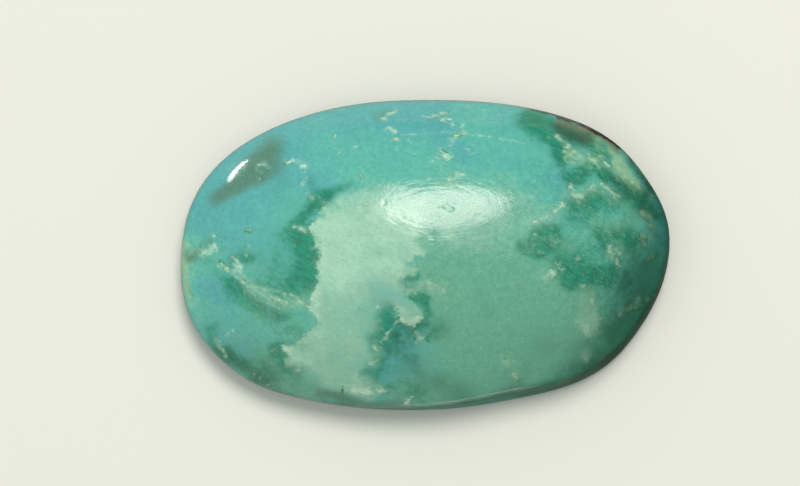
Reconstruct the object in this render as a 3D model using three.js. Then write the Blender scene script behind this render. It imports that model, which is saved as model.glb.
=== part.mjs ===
// A polished turquoise cabochon: one oval stone, hand ground and polished, with a dome on top,
// a narrow girdle wall round the edge, a small bevel at the foot of the wall and a flat back.
// Millimetres, +Z up. The origin is on the flat back, under the middle of the oval.
// +X runs along the stone's length and +Y across it.

import * as THREE from "three";
import { mergeVertices } from "three/addons/utils/BufferGeometryUtils.js";

// The oval seen from above is a superellipse, a little squarer than an ellipse.
const HALF_LENGTH = 7.88;
const HALF_WIDTH = 4.93;
const SQUARENESS = 2.42; // 2 is an ellipse, and more is squarer

// It was ground by eye, so its edge lies inside that oval in places, and once stands proud of it.
// Each place has its bearing and spread in degrees, from +X towards +Y, and how far in it lies.
const GROUND_PLACES = [
  { bearing: -17, spread: 16, depth: 0.42 }, // the run above the lower right shoulder
  { bearing: -52, spread: 23, depth: 0.2 }, // the flat below that shoulder
  { bearing: 19, spread: 11, depth: 0.19 },
  { bearing: 155, spread: 31, depth: 0.27 }, // the blunt upper left
  { bearing: 217, spread: 11, depth: -0.09 }, // the lower left shoulder, which stands proud
];

// Heights above the flat back.
const TOTAL_HEIGHT = 3.5;
const RIDGE_HEIGHT = 1; // where the dome meets the girdle wall
const WALL_FOOT_HEIGHT = 0.3; // where the girdle wall meets the bevel under it

// How far in from the rim each edge lies.
const RIDGE_INSET = 0.06;
const BEVEL_INSET = 0.32;

// On the lower right shoulder the girdle wall leans, so that it shows from above as a narrow band.
const LEAN_BEARING = -50;
const LEAN_SPREAD = 41;
const LEAN_INSET = 0.28;

// Along the front the dome was ground flatter than elsewhere, so its ridge stands higher there.
const FLAT_BEARING = -75;
const FLAT_SPREAD = 50;
const RIDGE_RISE = 0.5;

// The dome is the cap of an ellipse: FULLNESS is the share of the ellipse's width that the cap takes.
// Near 1 it would meet the girdle wall without a crease, and here it leaves a clear one.
const FULLNESS = 0.88;
const FULLNESS_LOST_IN_FRONT = 0.62;

const BEARINGS = 120;
const DOME_RINGS = 14;
const WALL_RINGS = 2;
const BACK_RINGS = 2;

const STONE_COLOUR = "#6bb39a";
const STONE_ROUGHNESS = 0.22;

// The angle from one bearing to another, between -PI and PI.
function turnBetween(from, to) {
  return Math.atan2(Math.sin(to - from), Math.cos(to - from));
}

// One at a place on the edge, falling smoothly to nothing on both sides of it. The place and the
// spread are in degrees.
function near(place, spread, bearing) {
  const away = turnBetween(THREE.MathUtils.degToRad(place), bearing);
  return Math.exp(-((away / THREE.MathUtils.degToRad(spread)) ** 2));
}

// Distance from the middle of the stone to its edge at a bearing.
function rimRadius(bearing) {
  const along = Math.abs(Math.cos(bearing) / HALF_LENGTH) ** SQUARENESS;
  const across = Math.abs(Math.sin(bearing) / HALF_WIDTH) ** SQUARENESS;
  return GROUND_PLACES.reduce(
    (radius, place) => radius - place.depth * near(place.bearing, place.spread, bearing),
    (along + across) ** (-1 / SQUARENESS),
  );
}

// Distance from the middle to the ridge.
function ridgeRadius(bearing) {
  return rimRadius(bearing) - RIDGE_INSET - LEAN_INSET * near(LEAN_BEARING, LEAN_SPREAD, bearing);
}

function ridgeHeight(bearing) {
  return RIDGE_HEIGHT + RIDGE_RISE * near(FLAT_BEARING, FLAT_SPREAD, bearing);
}

// Height of the dome above the ridge, from 1 at the top to 0 at the ridge, where share is how far
// out the point lies. The cap is part of an ellipse, cut where its width is the fullness.
function domeShare(share, bearing) {
  const lost = FULLNESS_LOST_IN_FRONT * near(FLAT_BEARING, FLAT_SPREAD, bearing);
  const full = FULLNESS - lost * share ** 2;
  const atEdge = Math.sqrt(1 - full ** 2);
  return (Math.sqrt(1 - (full * share) ** 2) - atEdge) / (1 - atEdge);
}

// The rings of the stone from the top of the dome to the middle of the back. Each gives, for a
// bearing, the distance from the middle and the height.
function stoneRings() {
  const rings = [];
  for (let i = 0; i <= DOME_RINGS; i++) {
    const share = Math.sin((i / DOME_RINGS) * (Math.PI / 2)); // closer together towards the steep edge
    rings.push((bearing) => [
      share * ridgeRadius(bearing),
      THREE.MathUtils.lerp(ridgeHeight(bearing), TOTAL_HEIGHT, domeShare(share, bearing)),
    ]);
  }
  for (let i = 1; i <= WALL_RINGS; i++) {
    const down = i / WALL_RINGS;
    rings.push((bearing) => [
      THREE.MathUtils.lerp(ridgeRadius(bearing), rimRadius(bearing), down),
      THREE.MathUtils.lerp(ridgeHeight(bearing), WALL_FOOT_HEIGHT, down),
    ]);
  }
  for (let i = 0; i <= BACK_RINGS; i++) {
    const share = 1 - i / BACK_RINGS;
    rings.push((bearing) => [share * (rimRadius(bearing) - BEVEL_INSET), 0]);
  }
  return rings;
}

// A round blank turned on the lathe, one ring for each ring of the stone, whose points are then
// moved out to the oval.
function stoneGeometry() {
  const rings = stoneRings();
  const last = rings.length - 1;
  const blank = rings.map((_, i) => new THREE.Vector2(i === 0 || i === last ? 0 : 1, last - i));
  const geometry = new THREE.LatheGeometry(blank.reverse(), BEARINGS);
  const position = geometry.getAttribute("position");
  for (let i = 0; i < position.count; i++) {
    const column = Math.floor(i / rings.length);
    const bearing = ((column % BEARINGS) / BEARINGS) * 2 * Math.PI;
    const [radius, height] = rings[last - (i % rings.length)](bearing);
    position.setXYZ(i, radius * Math.cos(bearing), radius * Math.sin(bearing), height);
  }
  geometry.deleteAttribute("normal");
  geometry.deleteAttribute("uv");
  return mergeVertices(geometry, 1e-4);
}

const cabochon = new THREE.Mesh(
  stoneGeometry(),
  new THREE.MeshStandardMaterial({
    color: STONE_COLOUR,
    roughness: STONE_ROUGHNESS,
    metalness: 0,
  }),
);
cabochon.name = "turquoise_cabochon";
cabochon.geometry.computeVertexNormals();

const stone = new THREE.Group();
stone.add(cabochon);

export default stone;
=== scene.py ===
# A polished turquoise cabochon: one hand-ground oval stone, 15.5 mm long, resting on its flat back.
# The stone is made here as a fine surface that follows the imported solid, and its markings are drawn
# on it in millimetres, as strokes and outlines of each mineral. Blender's own lengths are metres.

import math

import bpy
import numpy as np
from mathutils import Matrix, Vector


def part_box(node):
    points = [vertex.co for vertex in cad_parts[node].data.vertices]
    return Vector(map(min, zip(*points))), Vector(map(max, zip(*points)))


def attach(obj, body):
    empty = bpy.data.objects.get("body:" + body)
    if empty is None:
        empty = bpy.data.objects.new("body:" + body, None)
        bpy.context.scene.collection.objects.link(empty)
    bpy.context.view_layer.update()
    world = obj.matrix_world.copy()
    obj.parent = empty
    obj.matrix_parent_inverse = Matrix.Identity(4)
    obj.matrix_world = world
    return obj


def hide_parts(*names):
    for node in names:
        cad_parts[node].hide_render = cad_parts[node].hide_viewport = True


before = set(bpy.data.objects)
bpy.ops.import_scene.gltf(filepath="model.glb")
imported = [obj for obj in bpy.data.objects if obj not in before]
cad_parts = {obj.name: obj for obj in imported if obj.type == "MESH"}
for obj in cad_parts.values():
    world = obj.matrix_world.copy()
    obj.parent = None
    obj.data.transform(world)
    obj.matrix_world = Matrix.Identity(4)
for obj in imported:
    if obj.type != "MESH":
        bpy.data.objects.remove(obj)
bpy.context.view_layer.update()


# The shape of the stone. It is ground and polished by hand from one piece of turquoise: a dome,
# a crease where the dome meets the narrow girdle wall, a small bevel under that wall and a flat
# back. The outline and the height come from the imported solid, and the rest is the grinder's work.

# Lengths are in mm, and bearings and spreads in degrees, counted from +X towards +Y.
MM = 0.001
RIDGE_HEIGHT = 1.0
WALL_FOOT_HEIGHT = 0.3
RIDGE_INSET = 0.06
BEVEL_INSET = 0.32
FULLNESS = 0.88

# In front the dome is ground flatter, and on the lower right shoulder the girdle wall leans.
FLAT_BEARING = -75
FLAT_SPREAD = 50
RIDGE_RISE = 0.5
FULLNESS_LOST_IN_FRONT = 0.62
LEAN_BEARING = -50
LEAN_SPREAD = 41
LEAN_INSET = 0.28

# The edges are rounded over a share of the faces that meet there, and wander a little up and down.
EDGE_ROUNDING = 0.12
BACK_ROUNDING = 0.1
EDGE_WOBBLE = 0.035
SOLID_CORNERS = 120

cad_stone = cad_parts["turquoise_cabochon"]
TOTAL_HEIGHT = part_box("turquoise_cabochon")[1].z / MM


def outline_waves(node, height, harmonics=26):
    """The solid's outline at one height, as a sum of waves round the stone: the Fourier series of the
    radius at the solid's corners there, which lie at even bearings."""
    corners = np.array([vertex.co for vertex in node.data.vertices]) / MM
    level = corners[np.abs(corners[:, 2] - height) < 0.01]
    bearing = np.arctan2(level[:, 1], level[:, 0]) % (2 * np.pi)
    degrees, first = np.unique(np.round(np.degrees(bearing)).astype(int) % 360, return_index=True)
    radius = np.hypot(level[first, 0], level[first, 1])
    assert len(degrees) == SOLID_CORNERS, "the solid's girdle wall has other corners than expected"
    return (np.fft.rfft(radius) / len(radius))[:harmonics]


OUTLINE = outline_waves(cad_stone, WALL_FOOT_HEIGHT)


def rim_radius(bearing):
    """Distance from the middle to the edge at each bearing: the sum of the outline's waves."""
    waves = np.arange(1, len(OUTLINE))
    turns = np.exp(1j * bearing[..., None] * waves)
    return OUTLINE[0].real + 2 * (turns * OUTLINE[1:]).real.sum(-1)


def near(place, spread, bearing):
    """One at a place on the edge, falling smoothly to nothing over the spread on both sides."""
    turn = bearing - math.radians(place)
    return np.exp(-((np.arctan2(np.sin(turn), np.cos(turn)) / math.radians(spread)) ** 2))


def from_above(radius, bearing):
    """The points at some distances from the middle and some bearings, seen from above."""
    return np.stack([radius * np.cos(bearing), radius * np.sin(bearing)], 1)


def drift(places, size, seed):
    """Smooth random numbers from -1 to 1 over the plane. Random numbers on a square lattice are
    blended between its corners by the smooth step 3t^2 - 2t^3 on both axes."""
    side = 64
    lattice = np.random.RandomState(seed).uniform(-1, 1, (side, side))
    cell = np.floor(places / size).astype(int)
    part = places / size - cell
    smooth = part * part * (3 - 2 * part)
    across, up = smooth[..., 0], smooth[..., 1]
    column, row = cell[..., 0] % side, cell[..., 1] % side
    next_column, next_row = (column + 1) % side, (row + 1) % side
    low = lattice[row, column] * (1 - across) + lattice[row, next_column] * across
    high = lattice[next_row, column] * (1 - across) + lattice[next_row, next_column] * across
    return low * (1 - up) + high * up


def ridge_radius(bearing):
    """Distance from the middle to the crease between dome and girdle wall, which leans inwards on the
    lower right shoulder."""
    return rim_radius(bearing) - RIDGE_INSET - LEAN_INSET * near(LEAN_BEARING, LEAN_SPREAD, bearing)


def ridge_height(bearing):
    """Height of that crease, which is higher in front, where the dome is ground flatter."""
    return RIDGE_HEIGHT + RIDGE_RISE * near(FLAT_BEARING, FLAT_SPREAD, bearing)


def dome_point(share, bearing):
    """Radius and height of the dome, share being how far out the point lies, 0 to 1. The dome is the
    cap of an ellipse, cut where its half width is the fullness, as in the solid."""
    full = FULLNESS - FULLNESS_LOST_IN_FRONT * near(FLAT_BEARING, FLAT_SPREAD, bearing) * share**2
    cut = np.sqrt(1 - full**2)
    raised = (np.sqrt(1 - (full * share) ** 2) - cut) / (1 - cut)
    ridge = ridge_height(bearing)
    return share * ridge_radius(bearing), ridge + (TOTAL_HEIGHT - ridge) * raised


def rounded_corner(start, corner, end, rows):
    """Points of a quadratic curve from start to end that is pulled towards the corner. Each point is
    the radius and the height of a ring at every bearing."""
    steps = np.linspace(0, 1, rows)
    return [
        tuple((1 - t) ** 2 * s + 2 * t * (1 - t) * c + t**2 * e for s, c, e in zip(start, corner, end))
        for t in steps
    ]


def between(start, end, share):
    """The point that lies a share of the way from start to end."""
    return tuple((1 - share) * s + share * e for s, e in zip(start, end))


# How finely the dome and the back are divided from middle to edge, what share of the way to its edge
# the dome's own grid reaches, and how far in from the bevel the back's ends.
DOME_STEPS = 120
BACK_STEPS = DOME_STEPS // 2
DOME_REACH = 0.985
BACK_REACH_INSET = 0.18


def disc_grid(steps):
    """A square grid laid over a disc: each square ring of the grid becomes a circle of evenly spaced
    bearings. Returns how far out each point lies, 0 to 1, and its bearing."""
    side = np.linspace(-1, 1, 2 * steps + 1)
    across, up = np.meshgrid(side, side)
    flat = np.abs(across) >= np.abs(up)
    safe_across = np.where(across == 0, 1, across)
    safe_up = np.where(up == 0, 1, up)
    sideways = np.pi / 4 * up / safe_across + np.where(across < 0, np.pi, 0)
    upwards = np.pi / 2 - np.pi / 4 * across / safe_up + np.where(up < 0, np.pi, 0)
    return np.maximum(np.abs(across), np.abs(up)).ravel(), np.where(flat, sideways, upwards).ravel()


def grid_faces(steps):
    """The squares of a disc grid, counter-clockwise from above, and its edge in order of bearing."""
    side = 2 * steps + 1
    first = (np.arange(side - 1)[:, None] * side + np.arange(side - 1)).ravel()
    squares = np.stack([first, first + 1, first + side + 1, first + side], 1)
    share, bearing = disc_grid(steps)
    edge = np.flatnonzero(share > 1 - 1e-9)
    return squares, edge[np.argsort(np.round(bearing[edge] % (2 * np.pi), 9))]


def stone_surface():
    """Every point of the stone as columns: bearing, radius, height, the radius that markings see, and
    how much it belongs to the back. Markings see the wall and bevel laid out flat round the dome."""
    ring = np.arange(8 * DOME_STEPS) * 2 * np.pi / (8 * DOME_STEPS)
    rim = rim_radius(ring)
    out, dome_bearing = disc_grid(DOME_STEPS)
    share = DOME_REACH * (0.5 * out + 0.5 * np.sin(out * np.pi / 2))
    dome_radius, dome_height = dome_point(share, dome_bearing)

    wobble = EDGE_WOBBLE * drift(from_above(3, ring), 0.7, 21)
    ridge = (ridge_radius(ring), ridge_height(ring) + wobble)
    foot = (rim, WALL_FOOT_HEIGHT - 0.6 * wobble)
    back_edge = (rim - BEVEL_INSET, np.zeros_like(ring))
    dome_end = dome_point(np.full_like(ring, DOME_REACH), ring)
    wall_top = between(ridge, foot, EDGE_ROUNDING)
    wall_end = between(ridge, foot, 1 - EDGE_ROUNDING)
    bevel_top = between(foot, back_edge, EDGE_ROUNDING)
    bevel_end = between(foot, back_edge, 1 - BACK_ROUNDING)
    back_start = (rim - BEVEL_INSET - BACK_REACH_INSET / 3, np.zeros_like(ring))
    rows = rounded_corner(dome_end, ridge, wall_top, 7)[1:]
    rows += [between(wall_top, wall_end, i / 6) for i in range(1, 6)]
    rows += rounded_corner(wall_end, foot, bevel_top, 5)
    rows += [between(bevel_top, bevel_end, i / 3) for i in range(1, 3)]
    rows += rounded_corner(bevel_end, back_edge, back_start, 4)

    radii = np.array([row[0] for row in rows])
    heights = np.array([row[1] for row in rows])
    outwards = np.diff(radii, axis=0, prepend=dome_end[0][None])
    downwards = np.diff(heights, axis=0, prepend=dome_end[1][None])
    laid_out = dome_end[0] + np.cumsum(np.hypot(outwards, downwards), 0)
    belongs = np.clip((WALL_FOOT_HEIGHT + 0.02 - heights) / WALL_FOOT_HEIGHT, 0, 1)

    back_out, back_bearing = disc_grid(BACK_STEPS)
    back_radius = back_out * (rim_radius(back_bearing) - BEVEL_INSET - BACK_REACH_INSET)
    columns = [
        np.concatenate([dome_bearing, np.tile(ring, len(rows)), back_bearing]),
        np.concatenate([dome_radius, radii.ravel(), back_radius]),
        np.concatenate([dome_height, heights.ravel(), np.zeros_like(back_radius)]),
        np.concatenate([dome_radius, laid_out.ravel(), back_radius]),
        np.concatenate([np.zeros_like(dome_radius), belongs.ravel(), np.ones_like(back_radius)]),
    ]
    return columns, len(dome_radius), len(rows)


def stone_faces(dome_count, row_count):
    """The dome's squares, the rows of the wall and bevel, a row of triangles that halves the number
    of points, and the back's squares turned to face down."""
    dome_squares, dome_edge = grid_faces(DOME_STEPS)
    back_squares, back_edge = grid_faces(BACK_STEPS)
    around = len(dome_edge)
    rows = [dome_edge] + [dome_count + i * around + np.arange(around) for i in range(row_count)]
    quads = [dome_squares]
    for upper, lower in zip(rows, rows[1:]):
        quads.append(np.stack([upper, lower, np.roll(lower, -1), np.roll(upper, -1)], 1))
    back_first = dome_count + row_count * around
    quads.append(back_squares[:, ::-1] + back_first)
    inner = back_edge + back_first
    even, odd, next_even = rows[-1][::2], rows[-1][1::2], np.roll(rows[-1][::2], -1)
    next_inner = np.roll(inner, -1)
    triangles = np.concatenate([
        np.stack([even, inner, odd], 1),
        np.stack([odd, inner, next_inner], 1),
        np.stack([odd, next_inner, next_even], 1),
    ])
    return np.concatenate(quads).tolist() + triangles.tolist()


# Pits and nicks: where each lies, how wide it is and how deep. Under the highlight lies a low round
# swelling with a soft edge.
PITS = [
    (-1.27, 1.62, 0.045, 0.012), (0.6, 1.55, 0.1, 0.018), (0.78, 1.42, 0.08, 0.02),
    (0.9, 1.66, 0.05, 0.015), (1.6, 1.2, 0.09, 0.012), (4.99, 4.12, 0.13, 0.07),
    (5.3, 3.9, 0.1, 0.035), (-2.55, -4.2, 0.05, 0.03), (0.2, 0.6, 0.12, 0.01),
    (3.4, -0.9, 0.06, 0.012), (-4.9, -3.3, 0.08, 0.015),
]
SWELLING_MIDDLE = (0.69, 0.12)
SWELLING_RADIUS = 0.42
SWELLING_EDGE = 0.03
SWELLING_HEIGHT = 0.008

# The squares of the stone's half length, half width and height. Divided by them, a point of an
# ellipsoid of that size gives the way outwards there.
SQUARED_REACH = (60, 24.3, 12)


def surface_work(bearing, radius, height):
    """Low waves that hand polishing leaves on the dome, shallow pits, nicks in the edge and the
    swelling: how far each point moves outwards."""
    places = from_above(radius, bearing)
    waves = 0.012 * drift(places, 1.7, 3) + 0.004 * drift(places, 0.6, 4)
    moved = waves * np.clip((height - ridge_height(bearing)) / 0.6, 0, 1)
    for x, y, width, depth in PITS:
        apart = np.hypot(places[:, 0] - x, places[:, 1] - y)
        moved -= np.where(height > RIDGE_HEIGHT / 2, depth * np.exp(-((apart / width) ** 2)), 0)
    apart = np.hypot(*(places - SWELLING_MIDDLE).T)
    swelling = SWELLING_HEIGHT / (1 + np.exp((apart - SWELLING_RADIUS) / SWELLING_EDGE))
    return moved + np.where(height > RIDGE_HEIGHT, swelling, 0)


(bearing, radius, height, laid_out, belongs_to_back), dome_count, row_count = stone_surface()
x, y = from_above(radius, bearing).T
points = np.stack([x, y, height], 1)
outward = points / SQUARED_REACH + (0, 0, 0.1)
outward[height < ridge_height(bearing) - 0.15, 2] = 0  # the wall is worked sideways only
outward /= np.linalg.norm(outward, axis=1)[:, None] + 1e-9
points += outward * surface_work(bearing, radius, height)[:, None]


def add_to_scene(name, data):
    """A new object of the scene, at the origin."""
    made = bpy.data.objects.new(name, data)
    bpy.context.scene.collection.objects.link(made)
    return made


stone_mesh = bpy.data.meshes.new("turquoise")
stone_mesh.from_pydata((points * MM).tolist(), [], stone_faces(dome_count, row_count))
stone_mesh.polygons.foreach_set("use_smooth", np.ones(len(stone_mesh.polygons), bool))
stone_mesh.update()
turquoise = add_to_scene("turquoise", stone_mesh)
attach(turquoise, "root")
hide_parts("turquoise_cabochon")


# The markings of the stone, drawn as someone would paint them from above: each mineral is a list of
# soft strokes, or of hard outlines and veins, in mm from the middle of the stone. They carry on down
# the wall, and the back shows the same minerals turned round and pushed out of place.
def distance_to_line(places, line):
    """Distance from each place to a line of points, the nearest of its straight stretches."""
    line = np.array(line, float)
    starts, ends = (line, line) if len(line) == 1 else (line[:-1], line[1:])
    nearest = np.full(len(places), np.inf)
    for start, end in zip(starts, ends):
        run = end - start
        along = np.clip(((places - start) @ run) / max(run @ run, 1e-9), 0, 1)
        nearest = np.minimum(nearest, np.hypot(*(places - start - along[:, None] * run).T))
    return nearest


def depth_inside(places, outline):
    """Distance to a closed outline, counted as positive inside it and negative outside. A place is
    inside where a line from it to the right crosses the outline an odd number of times."""
    outline = np.array(outline, float)
    inside = np.zeros(len(places), bool)
    for (x0, y0), (x1, y1) in zip(outline, np.roll(outline, -1, 0)):
        spans = (y0 > places[:, 1]) != (y1 > places[:, 1])
        if y0 != y1:
            inside ^= spans & (places[:, 0] < x0 + (places[:, 1] - y0) * (x1 - x0) / (y1 - y0))
    edge = distance_to_line(places, np.vstack([outline, outline[:1]]))
    return np.where(inside, edge, -edge)


def soft_strokes(places, strokes):
    """How much of a mineral lies at each place, 0 to 1. A stroke is a strength, a width over which it
    fades and the points of its line, and strokes that overlap add up without passing one."""
    left = np.ones(len(places))
    for strength, width, *line in strokes:
        left *= 1 - strength * np.exp(-((distance_to_line(places, line) / width) ** 2))
    return 1 - left


def hard_marks(places, outlines, veins):
    """Depth inside the nearest outline or vein, negative outside. A vein is a half width and the points
    of its line, and one of a single point is a round fleck."""
    depth = np.full(len(places), -9.0)
    for outline in outlines:
        depth = np.maximum(depth, depth_inside(places, outline))
    for half_width, *line in veins:
        depth = np.maximum(depth, half_width - distance_to_line(places, line))
    return depth


# From sky blue to green: the left end and the top are blue, the middle and the right end green.
GREENER = [
    (0.7, 2.4, (1.75, 2.05), (3.8, 0.95)), (0.6, 1.5, (-2.55, 2.2), (-0.15, 2.4)),
    (0.45, 1, (-3.35, 3.35), (-1.75, 2.85)), (0.75, 1, (-3.85, 1.25), (-3.75, -0.95)),
    (0.6, 1.4, (-5.15, -1.4), (-3.95, -2.35)), (0.85, 2.2, (5.5, 2.05), (5.85, -1.4)),
    (0.9, 1.8, (3, -1.4), (4.25, -3.3)), (0.8, 2.4, (1.4, -0.45), (3, -3)),
    (0.6, 0.9, (-4.9, -4.4), (-2.7, -4.65)), (0.9, 1.2, (-3, -1.4), (-2.55, -3.8)),
    (0.9, 0.6, (-2, -2), (-1.7, -3)), (0.45, 0.8, (-0.75, -2.7), (-0.5, -3.55)),
    (0.6, 0.4, (-7.55, 0.5), (-7.5, -2.05)), (0.75, 0.9, (-6.35, -2.5), (-5.05, -3.65)),
    (0.4, 0.6, (-5.7, -0.6), (-4.9, -0.95)), (0.6, 0.9, (-5.05, -3.45), (-3.65, -4.2)),
    (0.3, 1.2, (-6.15, 1.1), (-5.2, 0.5)), (0.5, 1, (1.75, 4.1), (3.65, 3.65)),
    (0.8, 0.4, (7.6, 0), (7.55, -1.1)), (1.1, 0.45, (-7.35, -0.2), (-6.7, -0.2)),
    (0.5, 0.5, (-7.45, 0.5), (-7.1, 0.25)), (0.6, 0.5, (-7.3, -0.6), (-7.2, -1.35)),
]
BLUE_AGAIN = [
    (0.15, 0.8, (-0.85, -2.85), (-0.3, -3.05)), (0.15, 0.5, (-1.1, -3.55), (-1.25, -3.95)),
    (0.9, 0.35, (-0.75, 4.2), (0.6, 4.15)), (0.5, 0.5, (0.95, 3.5), (1.15, 2.95)),
    (0.5, 0.5, (4.05, 3.35), (4.25, 2.55)), (0.95, 0.3, (7.45, 1.2), (7.5, 0.55)),
    (0.5, 0.6, (-3.4, 2.4), (-3.25, 2.2)), (0.5, 0.45, (-6.35, -2.35), (-5.85, -2.85)),
    (0.3, 0.4, (-6.85, -0.95), (-6.75, -1.2)),
]

# Sage: the greyer, even field of the lower middle, and a haze of it in the green right end.
SAGE = [
    (0.6, 1.6, (0.8, -0.3), (3, -0.95)), (0.85, 1.7, (1.4, -2.35), (4.1, -2.35)),
    (0.8, 1.2, (-0.5, -4.55), (3, -4.1)), (0.6, 0.9, (0.45, -1.1), (1.1, -2.05)),
    (0.5, 0.9, (4.4, -1.4), (4.55, -3)), (0.3, 0.5, (5.5, 3.05), (6.45, 2.55)),
    (0.8, 1.1, (0, 1.3), (1.75, 1.25)), (0.3, 0.8, (4.75, 0.65), (5.5, 0.5)),
    (0.3, 0.5, (-3.8, -4.1), (-3, -4.4)), (0.55, 0.8, (-6.1, -2.75), (-4.75, -3.65)),
    (0.6, 0.6, (-5.15, -3.65), (-3.8, -4.15)), (0.3, 0.7, (-7.05, -1.4), (-6.75, -2.1)),
    (0.3, 0.9, (-5.4, -0.2), (-4.75, -0.95)), (0.45, 0.7, (-5.15, -1.6), (-3.95, -2.5)),
]

# Deep green: clear, dark mineral round the pale cloud, in its notches and through the right end.
DEEP_GREEN = [
    (0.7, 0.26, (-3.25, 1.8), (-3.55, 1.55), (-3.7, 1.25), (-3.85, 1)),
    (0.55, 0.25, (-2.45, 2.1), (-2.95, 1.9), (-3.4, 1.7)),
    (0.4, 0.3, (-6.55, -0.45), (-5.9, -0.9), (-5.45, -1.2)),
    (0.75, 0.42, (-3.85, 0.6), (-3.75, -0.1), (-3.85, -0.65)),
    (0.6, 0.2, (-3.65, 0.4), (-3.6, -0.2), (-3.65, -0.6), (-3.75, -1.05)),
    (0.35, 0.8, (-4.25, 0.5), (-4.2, -0.8)), (0.3, 0.7, (-0.95, -2.85), (-0.3, -3.05)),
    (0.4, 0.5, (-1.45, -3.7), (-0.15, -4.4)), (1.1, 0.16, (-0.65, -0.8), (-0.5, -0.7), (-0.3, -0.75)),
    (1.1, 0.2, (-0.5, -1.15), (-0.35, -1.3), (-0.1, -1.4)), (0.6, 0.14, (-0.05, -1.15), (0.45, -1.15)),
    (0.6, 0.15, (0, -1.5), (0.05, -1.85)), (0.5, 0.2, (-0.3, -2.3), (-0.05, -2.3)),
    (0.65, 0.3, (-1.25, -1.65), (-1.2, -2.05), (-1.05, -2.2)),
    (0.7, 0.35, (-1.35, -2.35), (-1.6, -2.6)), (0.6, 0.25, (-1.7, -3.05), (-1.5, -3.25)),
    (0.6, 0.22, (-2, -3.7), (-1.7, -3.9)), (1.2, 0.34, (3.05, 0.15), (3.45, 0.15), (3.95, 0.4)),
    (0.75, 0.28, (3.8, 0.85), (3.8, 0.55), (3.7, 0.3)),
    (0.8, 0.24, (3.95, 0.85), (3.75, 0.6), (3.5, 0.35)),
    (0.75, 0.3, (4.25, -0.35), (4.85, -0.6), (5.45, -0.65)),
    (0.7, 0.3, (4.5, -0.7), (5, -0.85), (5.4, -0.8)), (0.35, 0.5, (4.45, 0), (5, -0.2)),
    (1.2, 0.42, (3.5, 4.25), (3.8, 3.85), (4.15, 3.4)), (0.5, 0.5, (3.25, 4.2), (3.45, 3.7)),
    (0.8, 0.35, (5.85, 0.45), (6.1, 0.15)), (0.7, 0.35, (4.3, 3.7), (4.9, 3.6), (5.5, 3.25)),
    (0.95, 0.22, (4.85, 2.75), (5.1, 2.9), (5.35, 2.9), (5.6, 2.7)),
    (0.7, 0.25, (4.4, 2.6), (4.65, 2.45), (4.9, 2.45)),
    (0.8, 0.25, (5.6, 2.65), (5.95, 2.45), (6.35, 2.15), (6.8, 1.85)),
    (0.75, 0.24, (4.7, 1.65), (5, 1.6), (5.35, 1.75)),
    (0.6, 0.3, (5.5, 1.75), (5.95, 1.55), (6.45, 1.5)),
    (0.7, 0.3, (6.4, 1.85), (6.8, 1.55), (7.1, 1.35)), (1, 0.3, (5.6, 0.55), (5.9, 0.4), (6.2, 0.5)),
    (0.3, 0.3, (6.35, 1.05), (6.6, 0.75)), (0.4, 0.5, (5.7, -0.55), (6.3, -0.95)),
    (0.7, 0.35, (-4.55, -3.05), (-4.35, -3.3), (-3.95, -3.7)),
    (0.25, 0.4, (-5.35, -1.75), (-4.9, -2.05), (-4.4, -2.45)),
    (0.25, 0.4, (-4.55, -1.85), (-3.95, -2.35)), (0.25, 0.4, (-4.95, -1.05), (-4.25, -1.5)),
    (0.3, 0.8, (-5.05, -0.2), (-4.35, -0.95)), (0.5, 0.5, (-6.1, -1.3), (-5.6, -1.55)),
    (0.2, 0.3, (-3.85, -1.15), (-4.15, -0.9)), (0.6, 0.25, (-6, -0.1), (-5.65, 0.15)),
    (0.5, 0.25, (-6, -0.8), (-5.75, -1.1)), (0.5, 0.25, (-3.75, 2.5), (-3.6, 2.05)),
    (0.6, 0.3, (-6.8, -2.25), (-6.5, -2.7), (-6.1, -3.05)), (0.5, 0.5, (-6.15, -3.2), (-5.2, -3.75)),
    (0.35, 0.3, (-3.35, -4.5), (-0.8, -4.75)), (0.35, 0.3, (1.75, -1.15), (1.95, -1.65)),
    (0.25, 1.3, (5.2, 1.25), (5.7, -0.95)), (0.6, 0.28, (4.15, 3.6), (4.3, 3.15)),
    (0.8, 0.3, (4, 4.1), (4.65, 3.95), (5.35, 3.7)), (0.5, 0.25, (3.5, 0.75), (3.7, 0.35)),
    (0.9, 0.1, (-1.25, 1.35), (-1.2, 1.2), (-0.95, 1)), (0.4, 0.25, (5.85, 0.55), (6.15, 0.4)),
    (0.3, 0.6, (-0.75, -2.5), (0.4, -2.3)), (0.5, 0.25, (5.5, 3.3), (5.9, 3.05)),
    (0.5, 0.4, (4.65, 1.35), (5.15, 1.25)), (0.6, 0.18, (6.65, 3), (7.15, 2.05)),
]

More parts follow.
